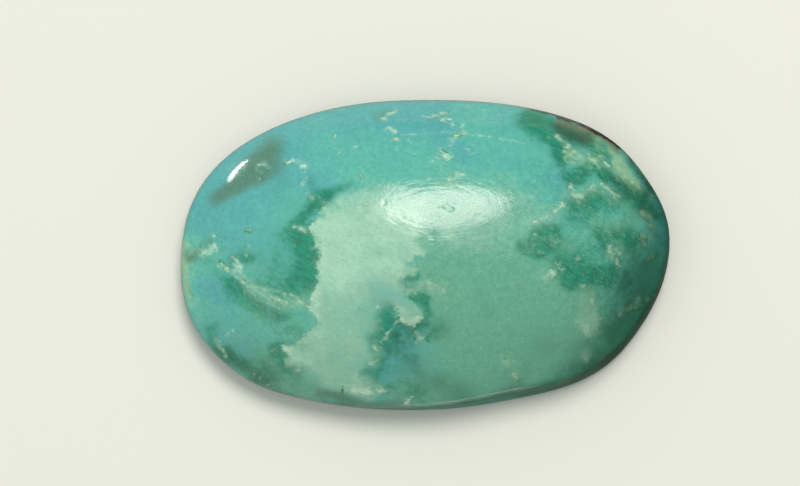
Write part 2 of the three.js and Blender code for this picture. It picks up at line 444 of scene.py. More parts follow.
# Where the mineral is darkest: the lower right end, and a band along the lower edge. These strokes are
# partly dark mineral and partly painted shade, where the light falls off towards the right and the
# bottom.
DARKEST_AND_SHADED = [
    (0.65, 1, (7, -0.4), (7, -1.25)), (0.9, 0.4, (7.3, -1.8), (6.7, -2.3), (6.05, -2.75)),
    (0.48, 1, (5.7, -2.85), (6.8, -1.4), (7.25, 0.5)), (0.5, 0.35, (5.85, -2.35), (6.55, -2)),
    (0.55, 0.7, (5.35, -3.8), (6.3, -3), (7.15, -1.4)),
    (0.75, 0.5, (7.75, -1.1), (7.75, 0.8), (7.25, 2.05)),
    (0.4, 0.3, (5.65, 2.65), (6.8, 1.75), (7.1, 1.45)), (0.35, 0.2, (6.6, 3.05), (7.1, 2.25)),
    (0.4, 0.28, (-5.15, -1.65), (-4.55, -1.9)), (0.45, 0.3, (2.35, -4.55), (4.4, -3.8), (5.85, -3.25)),
    (0.35, 0.25, (-5.55, -4.15), (-3.35, -4.75), (-0.8, -5), (1.4, -4.9)),
    (0.3, 1.1, (5.5, -1.1), (5.9, -2.2)), (0.2, 1.1, (-2.05, -4.55), (0.8, -4.65), (4.25, -3.9)),
    (0.2, 1.3, (3.65, -2.85), (4.25, -3)), (0.22, 0.9, (-5.85, -3), (-5.15, -3.35)),
    (0.25, 0.6, (-5.15, -3.55), (-3.35, -4.3)),
    (0.4, 0.16, (-7.35, -2.7), (-6.95, -3.25), (-6.25, -3.9), (-5.15, -4.4)),
    (0.35, 0.2, (6.65, 2.85), (7.15, 2)), (0.35, 0.5, (-0.95, -3), (1.4, -4.55)),
    (0.35, 0.5, (-0.75, -2.45), (0.45, -2.3)), (0.2, 0.3, (-4.8, 2.7), (-4.45, 2.45)),
    (0.22, 0.5, (-4.45, 1.9), (-3.95, 1.5)), (0.35, 0.3, (5.85, 2.2), (6.2, 1.95)),
    (0.3, 0.25, (6.7, 1.45), (7.05, 1)), (0.3, 0.4, (-6.35, -3), (-5.15, -3.95)),
    (0.75, 0.3, (4.2, 3.95), (4.65, 3.7), (4.95, 3.6)),
]
MOTTLED = [
    (1, 1.5, (5.2, 1.6), (5.85, 0.15)), (0.8, 1, (4.9, -0.8), (6.45, -1.4)),
    (0.9, 0.8, (4.55, 3.15), (6.45, 2.2)), (0.9, 0.6, (-5.3, -1.4), (-4.45, -2.2), (-3.95, -2.7)),
    (0.4, 0.5, (-6.35, -3.15), (-5.2, -3.7)), (0.15, 0.6, (-4.1, 0.5), (-3.95, -1.1)),
    (0.5, 0.5, (-0.5, -0.95), (0.45, -0.95)), (0.35, 0.9, (1.75, 0.65), (3.3, 0.65)),
    (0.5, 0.8, (-4.45, -3), (-4.25, -3.95)), (0.4, 0.5, (-5.85, -0.3), (-3.95, -1.4)),
    (0.3, 0.7, (-3, 0.95), (-2.85, -3.65)), (1, 0.4, (-7.1, 0.05), (-6.6, 0.35)),
]

# The pale mint cloud that crosses the dome left of its middle, and a pale column at the lower right.
# It is blurred in places, sends haze over the green, and glows where it is thickest.
CLOUD_OUTLINES = [
    [
        (-2.9, 1.5), (-2.6, 1.65), (-2.25, 1.8), (-1.75, 1.95), (-1.2, 1.95), (-0.65, 1.85), (-0.15, 1.6),
        (-0.05, 1.1), (-0.15, 0.75), (-0.25, 0.5), (-0.1, 0.25), (-0.05, 0.05), (-0.3, -0.1),
        (-0.55, -0.35), (-0.35, -0.5), (-0.7, -0.7), (-0.65, -1), (-0.55, -1.2), (-0.3, -1.45),
        (-0.05, -1.65), (-0.05, -1.9), (-0.35, -2.25), (-0.7, -2.05), (-0.9, -1.9), (-0.9, -1.75),
        (-1.1, -1.55), (-1.25, -1.55), (-1.45, -1.7), (-1.5, -1.85), (-1.45, -2.25), (-1.8, -2.6),
        (-1.7, -2.95), (-1.5, -3.05), (-1.55, -3.25), (-1.75, -3.4), (-2.05, -3.7), (-1.7, -3.95),
        (-1.35, -4.15), (-1.6, -4.4), (-2, -4.5), (-2.55, -4.35), (-3, -4.25), (-3.4, -3.85),
        (-3.85, -3.6), (-4.15, -3.4), (-4.25, -3.25), (-4.4, -3.05), (-4.5, -2.85), (-3.85, -2.85),
        (-4, -2.7), (-3.8, -2.45), (-3.45, -2.25), (-3.4, -2), (-3.55, -1.65), (-3.5, -1.4),
        (-3.45, -1.05), (-3.3, -0.8), (-3.35, -0.45), (-3.35, -0.2), (-3.4, 0.4), (-3.55, 0.75),
        (-3.5, 0.95), (-3.35, 1.2), (-3.15, 1.55),
    ],
    [
        (4.9, -1.15), (5.2, -1.1), (5.3, -1.4), (5.4, -1.8), (5.45, -2), (5.35, -2.25), (5.4, -2.45),
        (5.15, -2.5), (4.9, -2.35), (4.7, -2.1), (4.85, -1.9), (5, -1.65), (4.95, -1.4),
    ],
]
CLOUD_VEINS = [
    (0.13, (-0.5, -1.05), (-0.05, -0.95), (0.15, -1)), (0.07, (0.15, -1), (0.5, -1.05)),
    (0.07, (3.7, -0.7), (4.1, -0.35)),
]
CLOUD_BLUR = [
    (1, 0.4, (-2.55, 1.7), (-0.8, 1.95), (0, 1.65)), (0.5, 0.3, (0, 1.7), (0, 0.5)),
    (0.5, 0.3, (-1.55, -2.85), (-1.7, -3.95)), (0.4, 0.3, (-0.5, -0.45), (-0.65, -0.8)),
    (0.6, 0.4, (-2, -2.35), (-1.5, -2.85)), (0.35, 0.25, (-1.25, -1.65), (-1.45, -2.2)),
    (0.45, 0.2, (-0.15, -1), (0.4, -1.1)), (0.8, 0.5, (-3.95, -3.8), (-3, -4.3), (-2.05, -4.5)),
    (0.8, 0.3, (4.9, -1.1), (4.95, -1.8)),
]
CLOUD_HAZE = [
    (0.35, 0.7, (-2.4, 1.75), (-0.15, 1.75)), (0.45, 0.7, (0.8, 2.05), (3.3, 1.6)),
    (0.25, 0.9, (2.35, 1.25), (3.05, 0.75)), (0.3, 0.25, (5.8, 0.15), (6.05, -0.15)),
    (0.4, 0.4, (5.25, 0.85), (5.85, 0.75)), (0.4, 0.35, (4.05, 0.4), (4.45, 0.25)),
    (0.35, 0.3, (6.3, 0.85), (6.6, 0.7)), (0.45, 0.3, (4.55, 2), (4.9, 1.85)),
    (0.6, 0.2, (5, -3.1), (5.15, -3.25)), (0.4, 0.3, (2.55, -3.3), (2.85, -3.8)),
    (0.6, 0.35, (-7.6, 0.3), (-7.55, -1.4)), (0.25, 0.4, (-7.35, -2.2), (-6.65, -3.15), (-6, -3.7)),
    (0.35, 0.35, (4.45, 3.4), (4.9, 3.05), (5.4, 3.05)),
    (0.35, 0.3, (4.25, 1.5), (3.9, 1.25), (3.35, 1.05)),
    (0.4, 0.35, (5.2, 2.05), (6, 1.75), (6.8, 1.2)), (0.2, 0.3, (6.15, 0.05), (6.6, -0.05)),
    (0.6, 0.3, (-5.35, -1.05), (-4.6, -1.35), (-3.85, -1.5)), (0.2, 0.2, (-6, -0.4), (-5.65, -0.65)),
    (0.35, 0.5, (0.45, 0.3), (3, 0.15)), (0.3, 0.4, (3.65, -0.55), (4.15, -0.7)),
]
CLOUD_GLOW = [
    (0.85, 0.75, (-2.75, 0.75), (-2.45, -0.3)), (0.5, 0.45, (-2.7, -0.2), (-1.05, -0.4)),
    (0.8, 0.3, (-4, -3.1), (-3.7, -3.3)), (0.5, 0.35, (-3, -4.15), (-2.45, -4.2)),
    (0.7, 0.3, (-3.4, 1.05), (-3.45, 0.65)), (0.6, 0.25, (-3.45, -0.2), (-3.5, -1.1)),
    (0.5, 0.4, (-1.5, 0.6), (-0.85, 0.15)), (0.6, 0.6, (-3.15, 0.95), (-3, -1.1)),
    (0.7, 0.7, (-1.45, 0.95), (-0.55, 0.5)), (0.5, 0.5, (-3, 1.45), (-2.55, 1.6)),
]

# Where the cloud lies thin over green, and where a yellower, mossy haze lies on the edges.
CLOUD_THIN = [
    (0.5, 0.45, (-0.75, 0.35), (-0.4, -0.2)), (0.25, 0.6, (-1.45, 1.6), (-0.5, 1.25)),
    (0.7, 0.45, (-2, -2.1), (-1.7, -2.85), (-2, -3.3)), (0.45, 0.4, (-1.25, -1.15), (-0.8, -1.3)),
    (0.5, 0.5, (-3, -1.4), (-2.55, -3.95)), (0.75, 0.3, (-1.6, -1.8), (-1.55, -2.25)),
    (0.55, 0.35, (-1.25, -1.1), (-0.75, -1.15)),
    (0.9, 0.36, (-1.2, -1.35), (-0.8, -1.4), (-0.35, -1.7)), (0.45, 0.3, (-3.6, -0.55), (-3.4, -0.9)),
    (0.35, 0.5, (-2.85, -1.15), (-2.15, -1.5)), (0.4, 0.5, (-1.8, -0.2), (-1.45, -0.8)),
    (0.6, 0.9, (5.15, -1.3), (5.15, -2.35)),
]
MOSS = [
    (0.65, 0.2, (5.2, 3.75), (5.65, 3.5), (6.2, 3)), (0.25, 0.35, (4.9, 3.45), (5.4, 3.15)),
    (0.75, 0.2, (6.1, 3), (6.4, 2.75), (6.65, 2.3)),
    (0.4, 0.3, (6.05, 2.65), (6.35, 2.3), (6.65, 2.15)),
    (0.5, 0.14, (6.85, 1.3), (7.05, 1), (6.95, 0.55)), (0.4, 0.2, (4.3, 3.4), (4.9, 3.05), (5.4, 3.05)),
    (0.7, 0.24, (-7.55, 0.3), (-7.55, -0.2), (-7.5, -1.1)),
    (0.5, 0.14, (-7.25, -0.1), (-6.85, 0.25), (-6.6, 0.4)),
    (0.4, 0.2, (-2.75, -4.3), (-2.3, -4.4), (-1.7, -4.3)),
]

# Cream: bodies, veins and round flecks of pale mineral, the flecks by their half width. Where a half
# width is negative, only grains of the vein come through.
CREAM_OUTLINES = [
    [(-7, 0), (-6.85, 0.2), (-6.7, 0.4), (-6.6, 0.5), (-6.55, 0.25), (-6.7, 0.05)],
    [
        (-6.35, -0.3), (-6.15, -0.35), (-5.9, -0.35), (-5.85, -0.2), (-5.75, -0.3), (-5.7, -0.35),
        (-5.7, -0.5), (-5.65, -0.75), (-5.55, -0.85), (-5.65, -0.85), (-5.8, -0.6), (-6.1, -0.45),
    ],
    [(-4.45, -2.85), (-4.2, -2.9), (-4.25, -3.1)],
]
CREAM_VEINS = [
    (0.1, (-6.9, 0.05), (-6.7, 0.25)), (0.03, (-6.6, 0.5), (-6.65, 0.65)),
    (0.012, (-5.55, 0.3), (-5.55, 0)), (0.02, (-6.5, 0.3), (-6.5, 0.15)),
    (-0.04, (-5.45, -0.9), (-5.15, -1.05), (-4.8, -1.35), (-4.6, -1.5)),
    (-0.02, (-5.15, -1.15), (-4.9, -1.3)), (-0.06, (-5.4, -1.25), (-5.2, -1.5)),
    (0, (-4.6, -1.2), (-4.4, -1.45), (-4.1, -1.5)),
    (-0.02, (-4.25, -1.15), (-3.95, -1.3), (-3.9, -1.5)), (-0.02, (-3.85, -1.6), (-3.6, -1.55)),
    (-0.01, (-6.6, -0.15), (-6.3, -0.3)), (0.1, (-5.9, -0.25), (-5.8, -0.45)),
    (0.03, (-6, -0.1), (-5.9, -0.25)), (0.02, (-4.4, 2.9), (-4.15, 2.95)),
    (0, (-4, 3), (-3.85, 2.75), (-3.65, 2.8)), (0.02, (-3.85, 2.75), (-3.8, 2.6)),
    (0.025, (-5.3, 2.8), (-5.1, 2.85), (-4.85, 2.75)), (0.025, (-5.2, 2.6), (-5.2, 2.45)),
    (0, (-3.65, 2.45), (-3.85, 2.2), (-3.85, 2.05)), (0, (-3.7, 2), (-3.6, 1.9), (-3.5, 1.7)),
    (-0.01, (-5.6, 0.85), (-5.45, 0.85)), (0.05, (-4, 0.85), (-3.75, 0.8)),
    (0.06, (-1.3, 4.3), (-1.05, 4.45)), (0.02, (-1.1, 4.45), (-0.9, 4.55)),
    (0.05, (-1.2, 3.95), (-1, 3.85)), (0.03, (-0.05, 4.35), (0.35, 4.4), (0.7, 4.5)),
    (0.02, (0.45, 4.25), (0.8, 4.3)), (0.03, (1.15, 4.1), (1.15, 3.95)),
    (0.03, (1, 3.85), (0.9, 3.75)), (0.05, (0.55, 3.15), (0.7, 3.1)),
    (0.015, (0.5, 3.3), (0.65, 3), (0.8, 3.15)), (0.04, (0.15, 2.95), (0.35, 3)),
    (0.03, (1.3, 3.35), (1.4, 3.25)), (0.04, (0.85, 2.45), (1.15, 2.55)),
    (0.03, (4.3, 3.35), (4.5, 3.45)), (0.03, (4.1, 3.75), (4.3, 3.6), (4.5, 3.4)),
    (0.05, (4.55, 2.9), (4.8, 3)), (0.04, (5, 3.05), (5.25, 3.15)),
    (0.06, (5.6, 2.95), (5.75, 2.8)), (0.04, (6.2, 2.45), (6.4, 2.25)),
    (0.03, (6.6, 2.15), (6.85, 2.05)), (0.09, (4.6, 1.95), (4.8, 1.85)),
    (0.04, (4.45, 2.1), (4.55, 2.2)), (0.05, (5.5, 2.2), (5.7, 2.05), (5.95, 1.85)),
    (0.05, (4.25, 1.55), (4, 1.35), (3.85, 1.2)), (0.04, (3.35, 1.05), (3.5, 1)),
    (-0.03, (3.45, 0.7), (3.3, 0.3)), (-0.02, (3.2, 0.1), (3.4, 0.3)),
    (0.03, (6.8, 1.3), (7, 1.2)), (0.04, (6.8, 0.6), (6.9, 0.3)), (0.03, (7, 1.05), (7.05, 0.9)),
    (0.05, (5.7, 0.25), (5.75, -0.05)), (0.03, (5.75, -0.05), (6.05, -0.35)),
    (0.02, (5.85, 0.1), (6.05, 0)), (0.03, (7, -0.1), (7.1, 0.05)),
    (-0.03, (3.7, -0.7), (4.05, -0.35)), (0.03, (4.8, -0.95), (5.05, -1)),
    (0.03, (5.2, -1.3), (5.25, -1.55)), (0.02, (4.8, -2.1), (5, -2.25), (5.15, -2.45)),
    (0.08, (6.05, -1.9), (6.2, -1.75)), (0.08, (6.4, -1.65), (6.7, -1.4)),
    (0.05, (7, -1.4), (7.25, -1.25)), (0.05, (2.75, -3.7), (2.9, -3.9)),
    (0.01, (-0.3, -2.45), (0, -2.75)), (0.01, (0, -2.5), (-0.3, -2.75)),
    (0.07, (-0.75, -2), (-0.4, -2.1), (-0.2, -1.85)), (0.12, (-2.2, -4.25), (-1.8, -4.25)),
    (0.05, (-1.55, -4.2), (-1.35, -4.2)), (0.05, (-0.6, -4.6), (-0.45, -4.45)),
    (0.025, (-0.9, -2.1), (-1.2, -2.45), (-1.35, -2.7)), (0.04, (-1.6, -2.9), (-1.5, -3)),
    (0.04, (-1.75, -3.4), (-1.55, -3.3)), (0.05, (-1.45, -1.55), (-1.55, -1.65)),
    (0.04, (-6.5, -2.85), (-6.3, -3.15)), (0.008, (-6.25, -2.45), (-5.95, -2.35)),
]
CREAM_FLECKS = {
    0.025: [(-2.65, 3.25), (-0.95, 3.25), (0.75, 3.45), (0.55, 2.8)],
    0.03: [
        (-2.15, 3.4), (7.25, 1.6), (7.15, 1.85), (5.45, -1.95), (-2.05, -1.75), (-3.95, -3.55),
        (7.25, -0.95),
    ],
    0.035: [(-5.2, -3.9), (-4.9, -4.1)],
    0.04: [
        (-1.95, 2.45), (-2.8, 3.75), (-0.5, 3.6), (0.85, 4.1), (0.8, 3.65), (0.7, 2.3), (4.9, -3.7),
        (2.5, -3.25), (-5.45, -3.75), (7.4, -0.15),
    ],
    0.05: [(-0.95, 3.6), (-6.6, -2.7)],
    0.06: [(5.15, 2.1)],
    0.07: [(-0.15, -2.6)],
    0.08: [(4.65, 3.25)],
    0.12: [(-3.85, 2.75), (5.1, -3.2)],
}
for half_width, middles in CREAM_FLECKS.items():
    CREAM_VEINS += [(half_width, middle) for middle in middles]

# Where the polish is worn off along the edges, hairlines, which are a long scratch high on the dome
# and thin strands of cream between the flecks, and where the dome is scuffed under the highlight.
WORN = [
    (0.95, 0.55, (4.25, -4.3), (5.85, -3.8), (6.95, -2.35), (7.6, -0.8), (7.8, 0.5)),
    (0.9, 0.4, (7.8, 0.5), (7.4, 1.9), (6.8, 2.85)), (0.7, 0.4, (6.8, 2.85), (5.5, 3.95)),
    (0.6, 0.3, (1.4, -4.95), (4.25, -4.4)),
]
HAIRLINE = [
    (0.5, 0.03, (-0.75, 3.75), (-0.15, 3.8), (0.6, 3.85), (1.2, 3.8), (2, 3.7), (3.1, 3.5)),
    (0.4, 0.03, (0.45, 3.85), (1.2, 3.8), (2, 3.7)),
    (0.9, 0.032, (-6.5, -0.3), (-6.05, -0.55), (-5.6, -0.9), (-5.15, -1.15), (-4.7, -1.5)),
    (0.6, 0.03, (-5.5, 0.3), (-5.6, 0)), (0.8, 0.03, (-6, -0.05), (-5.8, -0.35), (-5.55, -0.8)),
    (0.8, 0.03, (-5.45, -0.95), (-4.85, -1.05), (-4.45, -1.15), (-3.95, -1.3), (-3.8, -1.55)),
    (0.7, 0.03, (-5.45, -1.1), (-5.2, -1.4), (-4.75, -1.55), (-4.55, -1.65)),
    (0.7, 0.03, (-5.05, -1.05), (-4.6, -1.4), (-4.35, -1.55)),
    (0.8, 0.03, (-4.45, -1.2), (-3.95, -1.5), (-3.6, -1.6)),
    (0.7, 0.03, (-4.2, -1.15), (-3.85, -1.4), (-3.85, -1.6)),
    (0.9, 0.035, (-4.1, 0.9), (-3.85, 0.85), (-3.6, 0.85)),
    (0.7, 0.035, (4.45, 3.5), (4.75, 3.15), (5.2, 3), (5.65, 2.75)),
    (0.7, 0.035, (5.45, 2.25), (5.7, 2.05), (6.1, 1.8)),
    (0.8, 0.035, (5.7, 0.3), (5.75, -0.05), (6.1, -0.35)),
    (0.7, 0.035, (4.25, 1.6), (3.9, 1.25), (3.35, 1)),
]
SCUFFED = [
    (0.4, 2, (-0.65, 1.35), (1.55, 1.35)), (1, 0.65, (1.25, 0.5), (2.35, 0.75)),
]

# Iron: an olive-brown smear under the surface of the upper left, stains along the pale bands, and a
# brown-black skin of the host rock on the upper right edge. The olive along the leaning wall on the lower
# right and along the front rim darkens those edges: partly stain, partly painted shade.
LEANING_WALL = [
    (7.85, -0.95), (7.45, -1.8), (7, -2.7), (6.35, -3.4), (5.65, -3.95), (4.45, -4.55), (3.3, -4.9),
]
FRONT_RIM = [
    (-7.45, -2.4), (-6.9, -3.2), (-6.15, -3.8), (-5.15, -4.3), (-3.65, -4.75), (-1.75, -4.9),
    (0.15, -4.95),
]
OLIVE = [
    (0.75, 0.3, (-6.6, 1.75), (-6.25, 1.95), (-5.8, 2.25)),
    (0.75, 0.38, (-5.85, 2.25), (-5.55, 2.55), (-5.15, 2.9)),
    (0.85, 0.46, (-5.35, 2.7), (-5.05, 3.05), (-4.85, 3.3)),
    (0.5, 0.24, (-6.4, 1.85), (-5.85, 2.2), (-5.35, 2.75)), (0.45, 0.3, (-5.15, 2.45), (-4.7, 2.75)),
    (0.35, 0.12, (-7.45, 0.15), (-7.4, -0.2)), (0.4, 0.2, (-7.45, -0.05), (-6.7, -0.2)),
    (0.4, 0.1, (-7.45, -0.85), (-7.35, -1.2)), (0.5, 0.14, (-7.25, -0.1), (-6.95, 0.3), (-6.7, 0.55)),
    (0.6, 0.2, (7, 0.85), (7.15, 0.65)), (0.7, 0.2, (4.25, 4.2), (5.2, 3.9), (5.9, 3.5)),
    (0.6, 0.15, (4.65, 4), (5, 3.85)), (0.6, 0.14, (5.95, 3.45), (6.55, 3), (7.1, 2.25)),
    (0.5, 0.2, (-1.6, 4.25), (-1.05, 4.4)), (0.4, 0.2, (0.15, 4.4), (0.65, 4.45)),
    (0.75, 0.2, (-3.35, -4.3), (-2.55, -4.55), (-1.7, -4.65), (-0.4, -4.75)),
    (0.5, 0.12, (5.8, -3.2), (6.2, -2.85), (6.55, -2.5)), (0.4, 0.35, (4.65, 1.85), (4.95, 1.7)),
    (0.3, 0.25, (5, -3.65), (5.2, -3.35)), (0.5, 0.2, (7.25, -1.4), (6.8, -2.35), (6, -3.3)),
    # The strokes along the leaning wall and the front rim darken those edges: partly stain, partly
    # painted shade.
    (0.95, 0.36, *LEANING_WALL), (0.35, 0.3, (-6.4, -3), (-6.15, -3.3)), (0.8, 0.1, *FRONT_RIM),
]
ROCK_VEINS = [
    (0.13, (3.45, 4.7), (4.25, 4.45), (4.65, 4.3)), (0.2, (4.7, 4.35), (5.15, 4.2), (5.5, 4)),
    (0.1, (4, 4.8), (4.65, 4.6)), (0.2, (4.65, 4.55), (5.2, 4.4)), (0.26, (5.15, 4.45), (5.7, 4.15)),
    (0.2, (5.7, 4.1), (6.2, 3.75)), (0.1, (6.2, 3.75), (6.9, 3.15)), (0.21, (5.45, 4), (5.7, 3.85)),
    (0.18, (5.6, 3.95), (5.9, 3.75), (6.15, 3.5)), (0.09, (6.1, 3.5), (6.6, 3.15), (7, 2.7)),
    (0.02, (-2.55, -4.15), (-2.55, -4.3)),
]
RUST = [
    (0.7, 0.14, (4.25, 4.2), (4.7, 4.05), (5.2, 3.9)),
    (0.6, 0.16, (5.2, 3.85), (5.6, 3.7), (6.05, 3.35)), (0.3, 0.08, (6.45, 3.05), (6.95, 2.55)),
    (0.6, 0.25, *LEANING_WALL[:-1]),
]


def push(places, size, seed):
    """A smooth random push at each place, from -1 to 1 both ways."""
    return np.stack([drift(places, size, seed), drift(places, size, seed + 1)], 1)


def markings(places):
    """Every mineral at every place, by the name of the attribute that the material reads."""
    small = push(places, 0.42, 11)
    ragged = places + 0.07 * small + 0.035 * push(places, 0.16, 13)
    hazy = places + 0.06 * small + 0.2 * push(places, 0.9, 15)
    blue = soft_strokes(hazy, BLUE_AGAIN)
    return {
        "green": soft_strokes(hazy, GREENER) * (1 - blue),
        "sage": soft_strokes(hazy, SAGE) * (1 - 0.7 * blue),
        "deep": soft_strokes(hazy, DEEP_GREEN),
        "dark_and_shaded": soft_strokes(hazy, DARKEST_AND_SHADED),
        "cloud": hard_marks(ragged, CLOUD_OUTLINES, CLOUD_VEINS),
        "blur": soft_strokes(places, CLOUD_BLUR),
        "haze": soft_strokes(hazy, CLOUD_HAZE),
        "mottle": soft_strokes(places, MOTTLED),
        "glow": soft_strokes(hazy, CLOUD_GLOW),
        "thin": soft_strokes(hazy, CLOUD_THIN),
        "moss": soft_strokes(hazy, MOSS),
        "cream": hard_marks(ragged, CREAM_OUTLINES, CREAM_VEINS),
        "olive": soft_strokes(places + 0.5 * (hazy - places), OLIVE),
        "rock": hard_marks(ragged, [], ROCK_VEINS),
        "rust": soft_strokes(hazy, RUST),
        "hairline": soft_strokes(places, HAIRLINE),
        "worn": soft_strokes(places, WORN),
        "scuffed": soft_strokes(places, SCUFFED),
    }


def keep_on_mesh(name, amounts):
    """Stores one number for each point of the stone under a name."""
    attribute = stone_mesh.attributes.new(name, "FLOAT", "POINT")
    attribute.data.foreach_set("value", amounts.astype(np.float32))


# The back shows the same minerals turned by 155 degrees, mirrored, squeezed a little and pushed out
# of place.
BACK_TURN = 2.7
BACK_SQUEEZE = 0.9
turned_x = BACK_SQUEEZE * (x * math.cos(BACK_TURN) - y * math.sin(BACK_TURN))
turned = np.stack([turned_x, -x * math.sin(BACK_TURN) - y * math.cos(BACK_TURN)], 1)
back_places = turned + 0.8 * push(turned, 1.9, 31)
front_places = from_above(laid_out, bearing)
on_front = belongs_to_back < 1
on_back = belongs_to_back > 0
seen_in_front = markings(front_places[on_front])
seen_behind = markings(back_places[on_back])
for name in seen_in_front:
    amounts = np.zeros(len(bearing))
    amounts[on_front] = seen_in_front[name] * (1 - belongs_to_back[on_front])
    amounts[on_back] += seen_behind[name] * belongs_to_back[on_back]
    keep_on_mesh(name, amounts)
keep_on_mesh("wall", np.clip((ridge_height(bearing) + 0.12 - height) / 0.3, 0, 1))

# The wheel leaves its scratches in long ovals round a point a little behind the top. Each point
# stores how far out it lies among them, and in which direction.
OVALS_MIDDLE = (0.45, 1.5)
OVALS_LENGTH = 2.2
oval_x = (x - OVALS_MIDDLE[0]) / OVALS_LENGTH
oval_y = y - OVALS_MIDDLE[1]
oval = np.hypot(oval_x, oval_y) + 0.001
keep_on_mesh("oval", oval)
keep_on_mesh("oval_x", oval_x / oval)
keep_on_mesh("oval_y", oval_y / oval)


# The material of the stone: turquoise is opaque and waxy, and takes a glassy polish. The markings
# choose between the colours of its minerals, noise breaks their edges and grains their fields, and
# hand polishing leaves fine curved scratches that show in the highlights.
class Wire:
    """One output of a shader node. Sums and products of wires and numbers add Math nodes."""

    def __init__(self, finish, socket):
        self.finish = finish
        self.socket = socket

    def maths(self, operation, first, second):
        return self.finish.node("ShaderNodeMath", {"operation": operation}, {0: first, 1: second})

    def __add__(self, other):
        return self.maths("ADD", self, other)

    __radd__ = __add__

    def __sub__(self, other):
        return self.maths("SUBTRACT", self, other)

    def __rsub__(self, other):
        return self.maths("SUBTRACT", other, self)

    def __mul__(self, other):
        return self.maths("MULTIPLY", self, other)

    __rmul__ = __mul__

    def __abs__(self):
        return self.maths("ABSOLUTE", self, 0.0)


class Finish:
    """The nodes of a material or of the world, made one by one."""

    def __init__(self, owner):
        owner.use_nodes = True
        self.owner = owner
        self.tree = owner.node_tree
        self.tree.nodes.clear()

    def node(self, kind, settings=None, inputs=None, output=0):
        """Adds a node of a kind with its settings and its input values or wires, and gives an output."""
        made = self.tree.nodes.new(kind)
        for name, value in (settings or {}).items():
            setattr(made, name, value)
        for name, value in (inputs or {}).items():
            if isinstance(value, Wire):
                self.tree.links.new(value.socket, made.inputs[name])
            else:
                made.inputs[name].default_value = value
        return Wire(self, made.outputs[output])

    def mix(self, share, first, second, blend="MIX"):
        """The first colour, with a share of the second laid over it."""
        settings = {"data_type": "RGBA", "blend_type": blend}
        return self.node("ShaderNodeMix", settings, {0: share, 6: first, 7: second}, output=2)

    def lay(self, colour, *coats):
        """A colour with coats laid over it in turn, each a share and a colour."""
        for share, coat in coats:
            colour = self.mix(share, colour, coat)
        return colour

    def rise(self, value, low, high):
        """Nothing below low, one above high, and a smooth step between."""
        inputs = {0: value, 1: low, 2: high}
        return self.node("ShaderNodeMapRange", {"interpolation_type": "SMOOTHSTEP"}, inputs)

    def amount(self, name):
        """A number that the mesh keeps for each point."""
        return self.node("ShaderNodeAttribute", {"attribute_name": name}, output="Fac")

    def drawn_out(self, place, turn, share):
        """The place turned about the vertical and shrunk lengthwise, so that noise there is drawn out."""
        turned = self.node("ShaderNodeMapping", {}, {"Vector": place, "Rotation": (0.0, 0.0, turn)})
        return self.node("ShaderNodeMapping", {}, {"Vector": turned, "Scale": (share, 1.0, 1.0)})

    def grain(self, place, size):
        """Noise from about -0.5 to 0.5 whose lumps are about a size across."""
        inputs = {"Vector": place, "Scale": 1 / (size * MM), "Detail": 3.0}
        return self.node("ShaderNodeTexNoise", {}, inputs, output="Fac") - 0.5

    def threads(self, place, size, width):
        """Thin lines, where a noise passes through zero."""
        return 1 - self.rise(abs(self.grain(place, size)), 0.3 * width, width)

    def end(self, surface, kind="ShaderNodeOutputMaterial"):
        """Ends the nodes with a surface, and gives back the material or world."""
        output = self.tree.nodes.new(kind)
        self.tree.links.new(surface.socket, output.inputs["Surface"])
        return self.owner


def paint(red, green, blue):
    """A colour as a picture gives it, 0 to 255, turned into the light that it stands for."""
    parts = [c / 255 for c in (red, green, blue)]
    return tuple(c / 12.92 if c < 0.04 else ((c + 0.055) / 1.055) ** 2.4 for c in parts) + (1.0,)


SKY_BLUE = paint(79, 162, 160)
AQUA = paint(87, 176, 155)
SAGE_GREEN = paint(100, 166, 136)
BRIGHT_GREEN = paint(8, 130, 98)
DARK_HAIR = paint(4, 88, 68)
MINT = paint(144, 190, 162)
MINT_GLOW = paint(161, 206, 176)
CREAM = paint(178, 214, 186)
MOSS_GREEN = paint(142, 184, 142)
OLIVE_BROWN = paint(78, 118, 92)
ROCK_BROWN = paint(40, 34, 24)
RUST_BROWN = paint(112, 104, 60)
# Multiplied in where the mineral is darkest, and as painted shade at the lower right end and lower edge.
BOTTLE_AND_SHADE_TINT = (0.14, 0.26, 0.2, 1.0)
WHITE = (1.0, 1.0, 1.0, 1.0)


